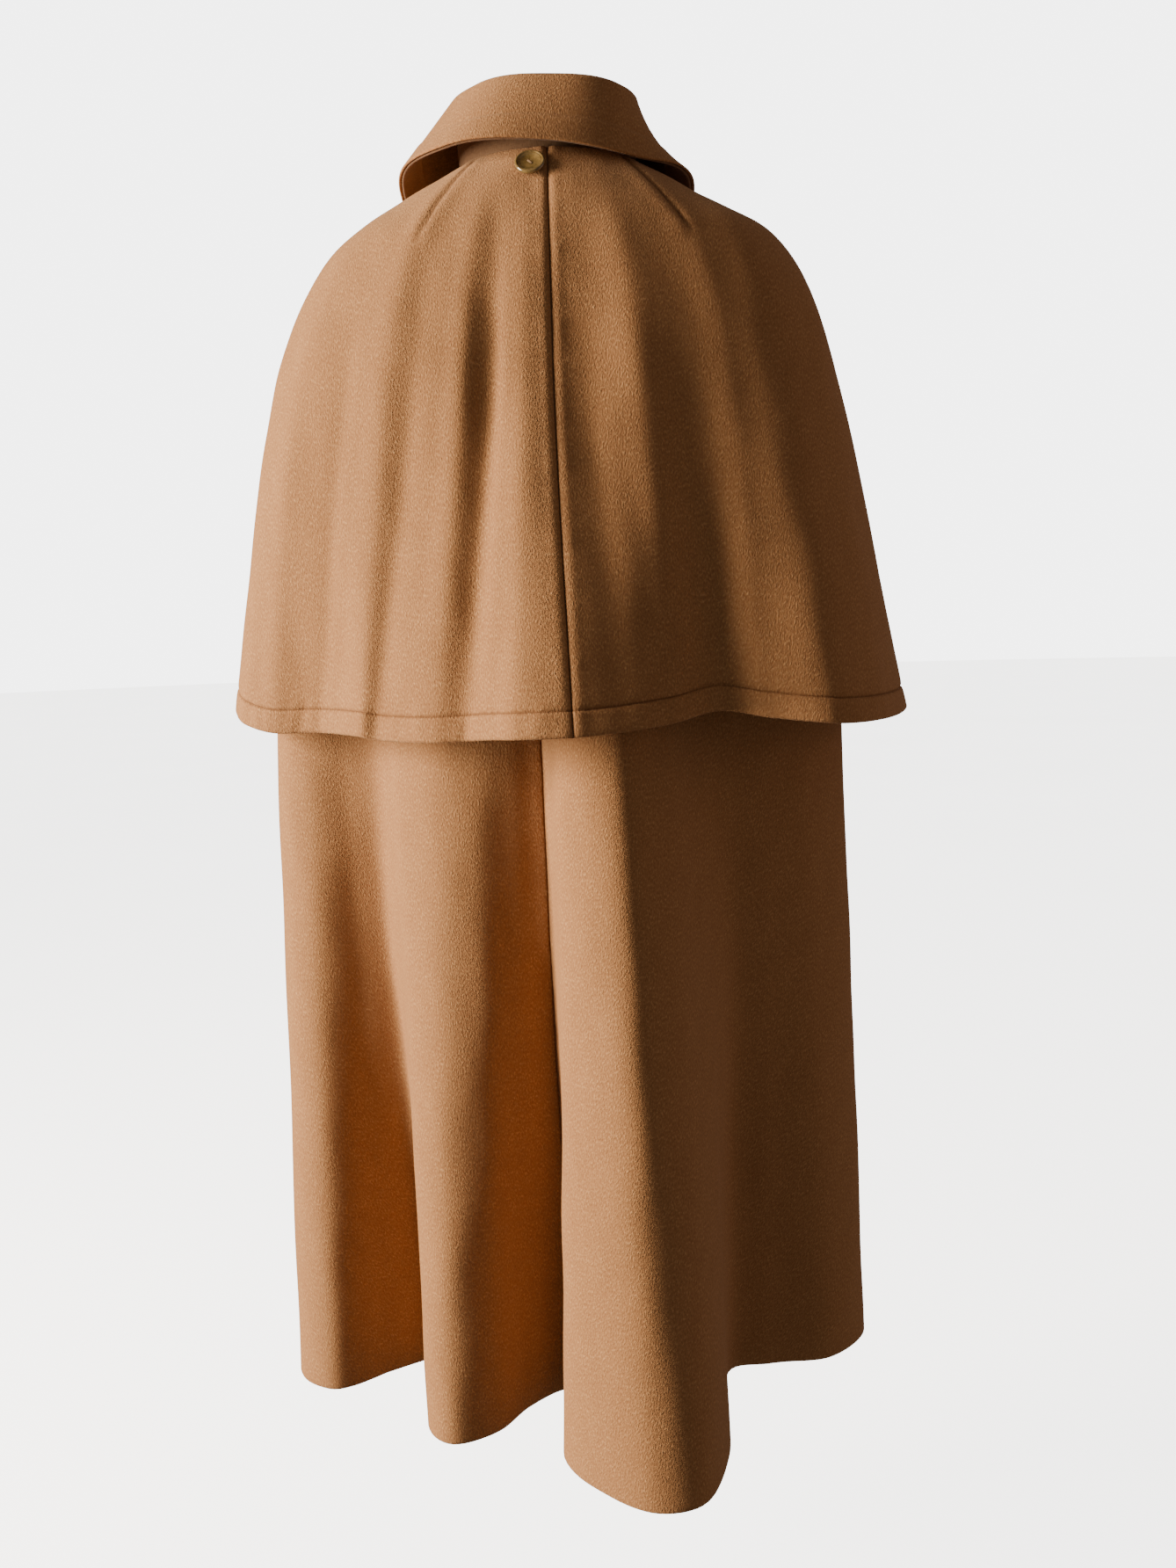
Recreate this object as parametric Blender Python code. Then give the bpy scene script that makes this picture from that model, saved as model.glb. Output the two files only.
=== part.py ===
"""Wool cape with a shorter overcape and a turned-down collar, filled out as if worn.

The front faces -Y, the back +Y and the wearer's left +X. The origin is the middle of the neck
opening, level with the side of the neck. Sizes are in millimetres until a mesh is made.
"""

import bpy
import bmesh
import math
from collections import namedtuple
from mathutils import Matrix, Vector

METRES = 0.001

# Cloth
WALL = 2.4
SEAM_GAP = 0.34
OVERCAPE_HEM_BAND = 21.0
CAPE_HEM_BAND = 34.0
HEM_LAYERS = 2.0
HEM_STEP = 1.5
COLUMN_WIDTH = 27.0
COLUMN_TURN = 12.0
OVERCAPE_ROWS = [2, 2, 2, 2, 2]
CAPE_ROWS = [2, 2, 2, 2, 2, 2]

# Levels
OVERCAPE_HEM_Z = -482.0
CAPE_HEM_Z = -1120.0

# Collar
COLLAR_LAYER = 2.3
COLLAR_LAYER_GAP = 0.5
COLLAR_NECK_CLEARANCE = 0.6
COLLAR_FRONT_TUCK = 8.4
COLLAR_TUCK_ANGLE = 48.0
STAND_OVERLAP = 4.0
FOLD_RADIUS = 5.6
COLLAR_END_ANGLE = 4.0
LEAF_SPREAD_ANGLE = 9.0
COLLAR_COLUMNS = 34
FOLD_PARTS = 3
LEAF_PARTS = 2

# Buttons
BUTTON_DIAMETER = 25.0
BUTTON_THICKNESS = 4.2
BUTTON_FOOT_INSET = 2.0
BUTTON_WIDEST_Z = 1.6
BUTTON_ROUNDING = 0.5
BUTTON_RIM = 2.6
BUTTON_DISH = 1.0
BUTTON_DISH_SLOPE = 1.2
BUTTON_HOLE = 2.2
BUTTON_HOLE_PITCH = 5.0
BUTTON_HOLE_SIDES = 10
BUTTON_SEAT = 0.6
BUTTON_SIDES = 20
BUTTON_TURN_ANGLE = 35.0

# How a button's place is looked for on its layer
PLACE_STEPS = 40
PLACE_STEP_SHARE = 0.7

SMOOTH_ANGLE = 50.0

# Rings of the shoulders, down from the neck, on the overcape's outer face. The height of a ring
# changes from its side to its back and front, and squareness is a superellipse's exponent.
Ring = namedtuple("Ring", "name left right back front z_left z_right z_back z_front squareness")
SHOULDER_RINGS = [
    Ring("neck",         81,  81,  81,  74,   -5,   -5,   -9,  -70, 2.0),
    Ring("collar_edge", 131, 129, 101,  96,  -30,  -31,  -45, -106, 2.1),
    Ring("shoulder",    189, 199, 117, 116,  -70,  -70,  -88, -142, 2.2),
    Ring("tip",         220, 228, 127, 130, -115, -115, -132, -176, 2.3),
    Ring("upper_arm",   249, 250, 138, 142, -183, -183, -195, -226, 2.3),
]

# How far the cape's outer face lies inside the overcape's, at each ring
CAPE_UNDER_OVERCAPE = [3.4, 4.6, 6.0, 7.5, 9.5]

# Lines that run down the overcape from neck to hem, from the left front edge round to the right
# one. Push is how far a fold already stands out at the upper arm's ring.
OvercapeLine = namedtuple("OvercapeLine", "name angle push lap hem_x hem_y hem_drop")
OVERCAPE_LINES = [
    OvercapeLine("left_edge",           -20,  0.0, 3.6,  -28, -170,  4),
    OvercapeLine("left_under",            0,  0.0, 3.6,    2, -171,  4),
    OvercapeLine("left_lap",             22,  0.0, 3.6,   32, -172,  4),
    OvercapeLine("left_front",           32,  0.0, 0.0,   66, -180,  4),
    OvercapeLine("left_front_crest",     42,  3.0, 0.0,  112, -190,  2),
    OvercapeLine("left_front_valley",    54, -3.0, 0.0,  160, -146,  8),
    OvercapeLine("left_arm_crest",       66,  2.0, 0.0,  236, -132,  6),
    OvercapeLine("left_arm_valley",      76,  0.0, 0.0,  268,  -84,  12),
    OvercapeLine("left_side",            86,  0.0, 0.0,  301,  -42,  17),
    OvercapeLine("left_outline",         94,  0.0, 0.0,  306,    8,  19),
    OvercapeLine("left_turn",           103,  1.0, 0.0,  290,   50,  8),
    OvercapeLine("left_flat",           112,  0.0, 0.0,  258,   70,  0),
    OvercapeLine("first_valley",        121, -3.0, 0.0,  222,   82,  0),
    OvercapeLine("first_flank",         127, -1.0, 0.0,  200,   98,  0),
    OvercapeLine("first_crest",         133,  3.0, 0.0,  174,  124, -1),
    OvercapeLine("first_back",          139,  0.0, 0.0,  156,  130, -4),
    OvercapeLine("second_flank",        146,  1.0, 0.0,  130,  146, -5),
    OvercapeLine("second_crest",        152,  3.0, 0.0,  104,  160, -5),
    OvercapeLine("second_valley",       159, -3.0, 0.0,   78,  164, -4),
    OvercapeLine("third_flank",         165,  1.0, 0.0,   58,  182, -2),
    OvercapeLine("third_crest",         171,  4.0, 0.0,   36,  199, -1),
    OvercapeLine("centre_back",         180,  1.0, 0.0,   -7,  204,  0),
    OvercapeLine("right_slope",         192, -3.0, 0.0,  -46,  192,  2),
    OvercapeLine("right_back",          206,  2.0, 0.0,  -88,  172,  6),
    OvercapeLine("right_valley",        219, -4.0, 0.0, -126,  150, 13),
    OvercapeLine("right_rise",          230, -1.0, 0.0, -164,  156,  7),
    OvercapeLine("right_crest",         243,  3.0, 0.0, -222,  158,  1),
    OvercapeLine("right_turn",          256,  1.0, 0.0, -272,  112,  0),
    OvercapeLine("right_outline",       268,  0.0, 0.0, -311,   22,  1),
    OvercapeLine("right_side",          275,  0.0, 0.0, -310,  -28,  2),
    OvercapeLine("right_arm_valley",    285, -1.0, 0.0, -272,  -84,  6),
    OvercapeLine("right_arm_crest",     296,  2.0, 0.0, -236, -138,  3),
    OvercapeLine("right_front_valley",  311, -3.0, 0.0, -166, -148,  6),
    OvercapeLine("right_front_crest",   327,  3.0, 0.0, -114, -192,  2),
    OvercapeLine("right_front",         344,  0.0, 0.0,  -46, -179,  2),
    OvercapeLine("centre_front",        362,  0.0, 0.0,   -8, -180,  2),
    OvercapeLine("right_edge",          380,  0.0, 0.0,   28, -179,  2),
]

# Lines that run down the cape in the same order, placed at the overcape's hem and at its own hem
CapeLine = namedtuple("CapeLine", "name angle lap waist_x waist_y hem_x hem_y")
CAPE_LINES = [
    CapeLine("left_edge",          -20, 8.0,  -28, -144,  -30, -162),
    CapeLine("left_under",           0, 8.0,    2, -145,    2, -163),
    CapeLine("left_lap",            22, 8.0,   32, -144,   34, -164),
    CapeLine("left_front",          36, 0.0,   64, -148,   68, -166),
    CapeLine("left_front_crest",    46, 0.0,  110, -142,  122, -182),
    CapeLine("left_front_valley",   57, 0.0,  156, -112,  152, -118),
    CapeLine("left_arm_crest",      68, 0.0,  208, -100,  224, -134),
    CapeLine("left_arm_valley",     78, 0.0,  236,  -58,  238,  -66),
    CapeLine("left_side",           88, 0.0,  264,  -22,  284,  -28),
    CapeLine("a_outline",           96, 0.0,  269,    8,  286,   14),
    CapeLine("a_left",             104, 0.0,  256,   34,  270,   40),
    CapeLine("a_crest",            112, 0.0,  232,   47,  240,   51),
    CapeLine("a_right",            121, 0.0,  198,   53,  192,   25),
    CapeLine("ab_valley",          128, 0.0,  174,   60,  150,    6),
    CapeLine("b_flank",            134, 0.0,  158,   74,  148,   56),
    CapeLine("b_left",             140, 0.0,  144,   90,  147,  110),
    CapeLine("b_crest",            149, 0.0,  112,  112,  122,  133),
    CapeLine("b_right",            157, 0.0,   80,  119,   82,  118),
    CapeLine("b_slope",            165, 0.0,   48,  117,   54,   84),
    CapeLine("centre_back",        173, 0.0,   22,  114,   14,   60),
    CapeLine("c_flank",            178, 0.0,   12,  130,   15,  108),
    CapeLine("c_left",             182, 0.0,    3,  148,   22,  156),
    CapeLine("c_rise",             188, 0.0,  -20,  164,   -6,  194),
    CapeLine("c_crest",            196, 0.0,  -48,  165,  -52,  223),
    CapeLine("c_right",            205, 0.0,  -78,  143,  -98,  213),
    CapeLine("c_right_flank",      213, 0.0, -102,  118, -123,  158),
    CapeLine("c_inner",            220, 0.0, -122,  102, -129,   92),
    CapeLine("cd_valley",          227, 0.0, -144,   92, -138,   40),
    CapeLine("d_left",             238, 0.0, -178,   76, -178,   31),
    CapeLine("d_right",            252, 0.0, -220,   46, -238,   24),
    CapeLine("d_outline",          265, 0.0, -255,    0, -279,  -12),
    CapeLine("right_side",         276, 0.0, -257,  -34, -281,  -48),
    CapeLine("right_arm_valley",   286, 0.0, -236,  -66, -246,  -82),
    CapeLine("right_arm_crest",    298, 0.0, -208, -100, -220, -136),
    CapeLine("right_front_valley", 309, 0.0, -158, -118, -152, -124),
    CapeLine("right_front_crest",  322, 0.0, -106, -146, -114, -184),
    CapeLine("right_lap",          337, 4.0,  -52, -150,  -56, -168),
    CapeLine("centre_front",       360, 4.0,  -10, -151,  -10, -171),
    CapeLine("right_edge",         380, 4.0,   28, -150,   30, -172),
]

# Where the collar's fold and the edge of its leaf run, round the neck. Reach is the distance
# from the neck's axis, and belly is how far the middle of the leaf stands out.
CollarStation = namedtuple("CollarStation", "name angle fold_reach fold_z edge_reach edge_z belly")
COLLAR_STATIONS = [
    CollarStation("front",         0, 80, -42, 124, -108,  0),
    CollarStation("left_front",   45, 86, -10, 134,  -64,  0),
    CollarStation("left",         90, 88,  46, 133,  -10,  0),
    CollarStation("left_back",   135, 83,  51, 118,   -7,  0),
    CollarStation("back",        180, 77,  50,  96,   -9,  1),
    CollarStation("right_back",  225, 86,  48, 101,  -15,  0),
    CollarStation("right",       270, 80,  44, 128,  -13, -7),
    CollarStation("right_front", 315, 84, -10, 134,  -60, -2),
]

# Where each button lies on its layer, between two of the layer's lines
ButtonPlace = namedtuple("ButtonPlace", "name layer x z first last")
BUTTON_PLACES = [
    ButtonPlace("back_neck_button",  "overcape", 14,  -27, "third_crest", "centre_back"),
    ButtonPlace("front_neck_button", "overcape",  0, -150, "right_front", "right_edge"),
    ButtonPlace("cape_front_button", "cape",      0, -330, "right_lap",   "right_edge"),
]

Panel = namedtuple("Panel", "name first last")
OVERCAPE_PANELS = [
    Panel("overcape_front_left", "left_edge", "left_side"),
    Panel("overcape_back_left", "left_side", "centre_back"),
    Panel("overcape_back_right", "centre_back", "right_side"),
    Panel("overcape_front_right", "right_side", "right_edge"),
]
CAPE_PANELS = [
    Panel("cape_front_left", "left_edge", "left_side"),
    Panel("cape_back_left", "left_side", "centre_back"),
    Panel("cape_back_right", "centre_back", "right_side"),
    Panel("cape_front_right", "right_side", "right_edge"),
]

Finish = namedtuple("Finish", "name colour roughness")
WOOL = Finish("camel_wool", (0.42, 0.21, 0.085), 0.95)
COLLAR_WOOL = Finish("camel_wool_collar", (0.36, 0.18, 0.075), 0.95)
HORN = Finish("olive_horn", (0.16, 0.09, 0.03), 0.25)


def steady_slopes(knots, values):
    """Slopes of a cubic through the values that never swings past them."""
    count = len(knots)
    secants = [(values[i + 1] - values[i]) / (knots[i + 1] - knots[i]) for i in range(count - 1)]
    slopes = [secants[0]]
    for i in range(1, count - 1):
        before, after = secants[i - 1], secants[i]
        if before * after <= 0.0:
            slopes.append(0.0)
            continue
        gap_before = knots[i] - knots[i - 1]
        gap_after = knots[i + 1] - knots[i]
        weight_before = 2.0 * gap_after + gap_before
        weight_after = gap_after + 2.0 * gap_before
        slopes.append((weight_before + weight_after) / (weight_before / before + weight_after / after))
    slopes.append(secants[-1])
    return slopes


def hermite(start, end, slope_start, slope_end, width, t):
    """A cubic from start to end with the given slopes, at t from 0 to 1."""
    t2, t3 = t * t, t * t * t
    return (
        (2 * t3 - 3 * t2 + 1) * start
        + (t3 - 2 * t2 + t) * width * slope_start
        + (3 * t2 - 2 * t3) * end
        + (t3 - t2) * width * slope_end
    )


def span_at(knots, place):
    """The span of knots that holds the place."""
    for i in range(len(knots) - 2):
        if place < knots[i + 1]:
            return i
    return len(knots) - 2


class SteadyCurve:
    """Values at knots joined by a cubic that doesn't overshoot."""

    def __init__(self, knots, values):
        self.knots = knots
        self.values = values
        self.slopes = steady_slopes(knots, values)

    def at(self, place):
        i = span_at(self.knots, place)
        width = self.knots[i + 1] - self.knots[i]
        t = (place - self.knots[i]) / width
        return hermite(self.values[i], self.values[i + 1], self.slopes[i], self.slopes[i + 1], width, t)


def through_points(knots, points, place):
    """A smooth curve through 3-D points, at a place along it."""
    i = span_at(knots, place)
    last = len(points) - 1
    width = knots[i + 1] - knots[i]

    def slope(k):
        before, after = max(k - 1, 0), min(k + 1, last)
        return (points[after] - points[before]) / (knots[after] - knots[before])

    t = (place - knots[i]) / width
    return hermite(points[i], points[i + 1], slope(i), slope(i + 1), width, t)


def ring_point(ring, angle):
    """A point on a shoulder ring. Angle 0 is the front, 90 the wearer's left, 180 the back."""
    turn = math.radians(angle)
    side, depth = math.sin(turn), -math.cos(turn)
    half_width = ring.left if side > 0 else ring.right
    half_depth = ring.back if depth > 0 else ring.front
    power = ring.squareness
    reach = ((abs(side) / half_width) ** power + (abs(depth) / half_depth) ** power) ** (-1.0 / power)
    z_side = ring.z_left + (ring.z_right - ring.z_left) * (1.0 - side) / 2.0
    z_end = ring.z_back if depth > 0 else ring.z_front
    return Vector((reach * side, reach * depth, z_side + (z_end - z_side) * depth * depth))


def ring_distances():
    """How far each ring lies from the neck, measured down the cloth at the wearer's left side."""
    distances = [0.0]
    for upper, lower in zip(SHOULDER_RINGS, SHOULDER_RINGS[1:]):
        distances.append(distances[-1] + math.hypot(lower.left - upper.left, lower.z_left - upper.z_left))
    return distances


def shoulder_normal(index, angle):
    """The way out of the cloth at a ring."""
    above = SHOULDER_RINGS[max(index - 1, 0)]
    below = SHOULDER_RINGS[min(index + 1, len(SHOULDER_RINGS) - 1)]
    ring = SHOULDER_RINGS[index]
    down = ring_point(below, angle) - ring_point(above, angle)
    around = ring_point(ring, angle + 1.0) - ring_point(ring, angle - 1.0)
    return around.cross(down).normalized() * -1.0


class Layer:
    """One layer of cloth round the body: lines down it, joined by smooth curves round it."""

    def __init__(self, lines, line_points, distances, hem_band):
        self.names = [line.name for line in lines]
        self.angles = [line.angle for line in lines]
        self.distances = distances
        self.length = distances[-1]
        self.hem_band = hem_band
        self.curves = [
            [SteadyCurve(distances, [point[axis] for point in points]) for axis in range(3)]
            for points in line_points
        ]
        self.places = [0.0]
        for before, after in zip(line_points, line_points[1:]):
            step = (after[-1] - before[-1]).length + (after[-2] - before[-2]).length
            self.places.append(self.places[-1] + step / 2.0)

    def line_place(self, name):
        return self.places[self.names.index(name)]

    def point(self, around, down):
        points = [Vector([curve.at(down) for curve in line]) for line in self.curves]
        return through_points(self.places, points, around)

    def frame(self, around, down):
        """Point, unit vector round the body, and unit normal out of the cloth."""
        step = 0.5
        left = max(around - step, self.places[0])
        right = min(around + step, self.places[-1])
        up = max(down - step, 0.0)
        low = min(down + step, self.length)
        along = self.point(right, down) - self.point(left, down)
        fall = self.point(around, low) - self.point(around, up)
        normal = along.cross(fall) * -1.0
        return self.point(around, down), along.normalized(), normal.normalized()

    def thickness(self, down):
        in_band = down > self.length - self.hem_band - 0.01
        return WALL * HEM_LAYERS if in_band else WALL

    def rows(self, parts_per_span):
        """Distances down the cloth at which the panels have a row of points."""
        rows = []
        for start, end, parts in zip(self.distances, self.distances[1:], parts_per_span):
            rows += [start + (end - start) * k / parts for k in range(parts)]
        band_top = self.length - self.hem_band
        rows = [row for row in rows if row < band_top - 3 * HEM_STEP]
        return rows + [band_top - HEM_STEP, band_top, self.length]

    def columns(self, first, last):
        """Places round the body at which a panel has a column of points."""
        start, end = self.names.index(first), self.names.index(last)
        columns = []
        for k in range(start, end):
            width = self.places[k + 1] - self.places[k]
            turn = self.angles[k + 1] - self.angles[k]
            parts = max(round(width / COLUMN_WIDTH), math.ceil(turn / COLUMN_TURN))
            columns += [self.places[k] + width * j / parts for j in range(parts)]
        return columns + [self.places[end]]


def overcape_layer():
    rings = SHOULDER_RINGS
    points = []
    for line in OVERCAPE_LINES:
        down = []
        for index in range(len(rings)):
            # a fold grows out of the cloth from the shoulder's ring to the upper arm's
            growth = max(index - 1, 0) / (len(rings) - 2)
            out = line.push * growth - line.lap
            down.append(ring_point(rings[index], line.angle) + shoulder_normal(index, line.angle) * out)
        down.append(Vector((line.hem_x, line.hem_y, OVERCAPE_HEM_Z + line.hem_drop)))
        points.append(down)
    distances = ring_distances()
    side = OVERCAPE_LINES[[line.name for line in OVERCAPE_LINES].index("left_outline")]
    drop = Vector((side.hem_x, 0, OVERCAPE_HEM_Z)) - Vector((rings[-1].left, 0, rings[-1].z_left))
    distances.append(distances[-1] + drop.length)
    return Layer(OVERCAPE_LINES, points, distances, OVERCAPE_HEM_BAND)


def cape_layer():
    rings = SHOULDER_RINGS
    points = []
    for line in CAPE_LINES:
        down = []
        for index in range(len(rings)):
            inside = CAPE_UNDER_OVERCAPE[index] + line.lap
            down.append(ring_point(rings[index], line.angle) - shoulder_normal(index, line.angle) * inside)
        down.append(Vector((line.waist_x, line.waist_y, OVERCAPE_HEM_Z)))
        down.append(Vector((line.hem_x, line.hem_y, CAPE_HEM_Z)))
        points.append(down)
    distances = ring_distances()
    distances.append(distances[-1] + rings[-1].z_left - OVERCAPE_HEM_Z)
    distances.append(distances[-1] + OVERCAPE_HEM_Z - CAPE_HEM_Z)
    return Layer(CAPE_LINES, points, distances, CAPE_HEM_BAND)


def finish_material(finish):
    material = bpy.data.materials.new(finish.name)
    material.use_nodes = True
    shader = material.node_tree.nodes["Principled BSDF"]
    shader.inputs["Base Color"].default_value = (*finish.colour, 1.0)
    shader.inputs["Roughness"].default_value = finish.roughness
    shader.inputs["Metallic"].default_value = 0.0
    return material


def add_object(name, mesh_builder, finish):
    mesh = bpy.data.meshes.new(name)
    mesh_builder.to_mesh(mesh)
    mesh_builder.free()
    mesh.materials.append(finish_material(finish))
    piece = bpy.data.objects.new(name, mesh)
    bpy.context.scene.collection.objects.link(piece)
    mesh.shade_smooth()
    mesh.set_sharp_from_angle(angle=math.radians(SMOOTH_ANGLE))
    return piece


def cloth_wall(name, outer, inner, finish):
    """A closed wall between two grids of points, each a list of rows."""
    rows, columns = len(outer), len(outer[0])
    builder = bmesh.new()
    bmesh.ops.create_grid(builder, x_segments=columns - 1, y_segments=rows - 1, size=1.0)
    builder.verts.ensure_lookup_table()
    number = builder.verts.layers.int.new("number")
    for index, vertex in enumerate(builder.verts):
        vertex[number] = index
    bmesh.ops.triangulate(builder, faces=builder.faces[:], quad_method="FIXED")
    grown = bmesh.ops.extrude_face_region(builder, geom=builder.faces[:])
    fresh = {item for item in grown["geom"] if isinstance(item, bmesh.types.BMVert)}
    for vertex in builder.verts:
        grid = inner if vertex in fresh else outer
        vertex.co = grid[vertex[number] // columns][vertex[number] % columns] * METRES
    bmesh.ops.triangulate(builder, faces=builder.faces[:])
    bmesh.ops.recalc_face_normals(builder, faces=builder.faces[:])
    add_object(name, builder, finish)


def cloth_panel(layer, panel, rows):
    """One panel of a layer, with half the seam's gap left at each of its sewn sides."""
    columns = layer.columns(panel.first, panel.last)
    outer, inner = [], []
    for down in rows:
        outer_row, inner_row = [], []
        for index, around in enumerate(columns):
            point, along, normal = layer.frame(around, down)
            if index == 0 and panel.first != "left_edge":
                point = point + along * SEAM_GAP / 2.0
            if index == len(columns) - 1 and panel.last != "right_edge":
                point = point - along * SEAM_GAP / 2.0
            outer_row.append(point)
            inner_row.append(point - normal * layer.thickness(down))
        outer.append(outer_row)
        inner.append(inner_row)
    cloth_wall(panel.name, outer, inner, WOOL)


def collar_station(angle):
    """Fold, leaf edge and belly at an angle, from a smooth closed curve through the stations."""
    count = len(COLLAR_STATIONS)
    spacing = 360.0 / count
    position = (angle % 360.0) / spacing
    index = int(position)
    t = position - index
    rows = [COLLAR_STATIONS[(index + k) % count] for k in (-1, 0, 1, 2)]
    columns = []
    for column in range(2, len(CollarStation._fields)):
        before, start, end, after = [row[column] for row in rows]
        columns.append(hermite(start, end, (end - before) / 2.0, (after - start) / 2.0, 1.0, t))
    return columns


def front_tuck(angle):
    """How much further in the stand lies near the front, inside the lapped edges of the cape."""
    from_front = min(angle % 360.0, -angle % 360.0)
    share = min(max(2.0 - 2.0 * from_front / COLLAR_TUCK_ANGLE, 0.0), 1.0)
    return COLLAR_FRONT_TUCK * share * share * (3.0 - 2.0 * share)


def collar_profile(angle, depth):
    """Points of the collar in a plane through the neck's axis, as reach and height.

    They run up the stand, over the fold and down the leaf, depth below the upper collar's face.
    """
    fold_reach, fold_z, edge_reach, edge_z, belly = collar_station(angle)
    neck = ring_point(SHOULDER_RINGS[0], angle)
    wall = 2.0 * COLLAR_LAYER + COLLAR_LAYER_GAP
    under_cape = CAPE_UNDER_OVERCAPE[0] + WALL + front_tuck(angle)
    cape_edge = neck - shoulder_normal(0, angle) * under_cape
    neck_reach = math.hypot(cape_edge.x, cape_edge.y) - COLLAR_NECK_CLEARANCE - wall
    radius = FOLD_RADIUS - depth
    centre = Vector((fold_reach - FOLD_RADIUS, fold_z - FOLD_RADIUS))
    leaf = Vector((edge_reach, edge_z)) - centre
    # the leaf leaves the fold's round along its tangent
    lean = math.atan2(leaf.y, leaf.x) + math.acos(FOLD_RADIUS / leaf.length)
    stand_top = centre + Vector((-radius, 0.0))
    stand_foot = Vector((neck_reach + depth, neck.z - STAND_OVERLAP))
    points = [stand_foot, stand_foot.lerp(stand_top, 0.5), stand_top]
    for k in range(1, FOLD_PARTS + 1):
        heading = math.pi + (lean - math.pi) * k / FOLD_PARTS
        points.append(centre + Vector((math.cos(heading), math.sin(heading))) * radius)
    out = Vector((math.cos(lean), math.sin(lean)))
    edge = Vector((edge_reach, edge_z)) - out * depth
    leaf_top = points[-1]
    for k in range(1, LEAF_PARTS + 1):
        share = k / LEAF_PARTS
        points.append(leaf_top.lerp(edge, share) + out * belly * 4.0 * share * (1.0 - share))
    return points


def collar_grid(depth):
    """The collar's rows at one depth, spread a little less round the neck towards the leaf's edge."""
    profile_length = len(collar_profile(0.0, 0.0))
    grid = []
    for row in range(profile_length):
        leaf_share = max(row - (profile_length - 1 - LEAF_PARTS), 0) / LEAF_PARTS
        start = COLLAR_END_ANGLE + LEAF_SPREAD_ANGLE * leaf_share
        points = []
        for column in range(COLLAR_COLUMNS + 1):
            angle = start + (360.0 - 2.0 * start) * column / COLLAR_COLUMNS
            reach, height = collar_profile(angle, depth)[row]
            turn = math.radians(angle)
            points.append(Vector((reach * math.sin(turn), -reach * math.cos(turn), height)))
        grid.append(points)
    return grid


def collar():
    under_face = COLLAR_LAYER + COLLAR_LAYER_GAP
    cloth_wall("upper_collar", collar_grid(0.0), collar_grid(COLLAR_LAYER), COLLAR_WOOL)
    cloth_wall("under_collar", collar_grid(under_face), collar_grid(under_face + COLLAR_LAYER), COLLAR_WOOL)


def button(name, place, normal):
    """A dished two-hole button lying on the cloth, with its face along the normal."""
    radius = BUTTON_DIAMETER / 2.0
    top = BUTTON_THICKNESS
    profile = [
        (0.0, 0.0),
        (radius - BUTTON_FOOT_INSET, 0.0),
        (radius, BUTTON_WIDEST_Z),
        (radius - BUTTON_ROUNDING, top - BUTTON_ROUNDING),
        (radius - BUTTON_RIM / 2.0, top),
        (radius - BUTTON_RIM, top - BUTTON_ROUNDING),
        (radius - BUTTON_RIM - BUTTON_DISH_SLOPE, top - BUTTON_DISH),
        (0.0, top - BUTTON_DISH),
    ]
    builder = bmesh.new()
    points = [builder.verts.new((x * METRES, 0.0, z * METRES)) for x, z in profile]
    edges = [builder.edges.new(pair) for pair in zip(points, points[1:])]
    bmesh.ops.spin(
        builder, geom=points + edges, axis=(0, 0, 1), cent=(0, 0, 0),
        steps=BUTTON_SIDES, angle=math.tau, use_merge=True,
    )
    bmesh.ops.remove_doubles(builder, verts=builder.verts[:], dist=0.00001)
    bmesh.ops.recalc_face_normals(builder, faces=builder.faces[:])
    piece = add_object(name, builder, HORN)
    for side in (-0.5, 0.5):
        drill_builder = bmesh.new()
        bmesh.ops.create_cone(
            drill_builder, cap_ends=True, segments=BUTTON_HOLE_SIDES,
            radius1=BUTTON_HOLE / 2.0 * METRES, radius2=BUTTON_HOLE / 2.0 * METRES,
            depth=4.0 * BUTTON_THICKNESS * METRES,
        )
        shift = Matrix.Translation((side * BUTTON_HOLE_PITCH * METRES, 0.0, 0.0))
        bmesh.ops.transform(drill_builder, matrix=shift, verts=drill_builder.verts[:])
        drill = add_object(name + "_drill_" + ("a" if side < 0 else "b"), drill_builder, HORN)
        drill.hide_render = True
        drill.display_type = "WIRE"
        drill.parent = piece
        cut = piece.modifiers.new("hole", "BOOLEAN")
        cut.operation = "DIFFERENCE"
        cut.object = drill
    lift = place + normal * BUTTON_SEAT
    upright = normal.to_track_quat("Z", "Y")
    turn = Matrix.Rotation(math.radians(BUTTON_TURN_ANGLE), 4, "Z")
    piece.matrix_world = Matrix.Translation(lift * METRES) @ upright.to_matrix().to_4x4() @ turn


def place_near(layer, spot):
    """The place on a layer, found step by step, that has the spot's x and height."""
    around = (layer.line_place(spot.first) + layer.line_place(spot.last)) / 2.0
    down = layer.length / 10.0
    for _ in range(PLACE_STEPS):
        here = layer.point(around, down)
        by_around = layer.point(around + 1.0, down) - here
        by_down = layer.point(around, down + 1.0) - here
        error_x, error_z = spot.x - here.x, spot.z - here.z
        share = PLACE_STEP_SHARE / (by_around.x * by_down.z - by_down.x * by_around.z)
        around += share * (error_x * by_down.z - by_down.x * error_z)
        down += share * (by_around.x * error_z - error_x * by_around.z)
        around = min(max(around, layer.places[0]), layer.places[-1])
        down = min(max(down, 0.0), layer.length)
    return around, down


def buttons(layers):
    for spot in BUTTON_PLACES:
        layer = layers[spot.layer]
        point, _, normal = layer.frame(*place_near(layer, spot))
        button(spot.name, point, normal)


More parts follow.
